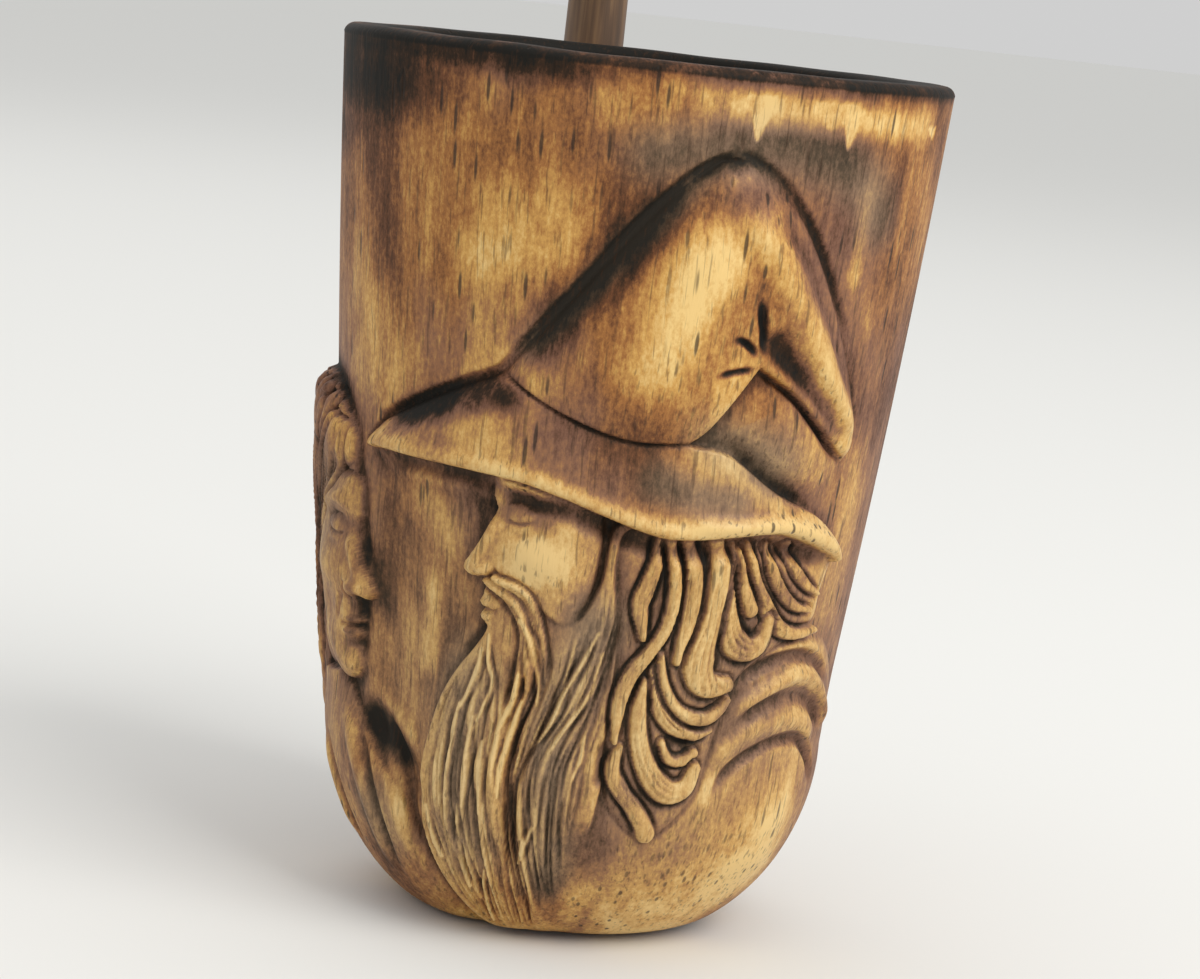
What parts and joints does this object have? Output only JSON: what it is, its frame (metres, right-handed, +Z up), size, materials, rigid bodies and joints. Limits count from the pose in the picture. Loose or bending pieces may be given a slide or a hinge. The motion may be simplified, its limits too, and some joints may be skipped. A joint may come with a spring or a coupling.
{
  "type": "carved wooden drinking cup",
  "caption": "Carved wooden drinking cup with a rounded bottom and flat foot, figures in relief on its side, and an upright stick handle pegged to a lug at the back.",
  "frame": {"origin": "centre of the flat foot that the cup stands on", "axes": "+Z up along the cup's axis, the handle on the +Y side, the carved front faces -Y"},
  "size_m": [0.0768, 0.0887, 0.182],
  "materials": {
    "carved_wood": "waxed, dark stain wiped back from the raised carving",
    "stick_wood": "waxed, stained mid brown",
    "peg_wood": "waxed end grain"
  },
  "bodies": {
    "root": {"cup_body": "carved_wood", "handle": "stick_wood", "upper_peg": "peg_wood", "lower_peg": "peg_wood"}
  },
  "joints": []
}
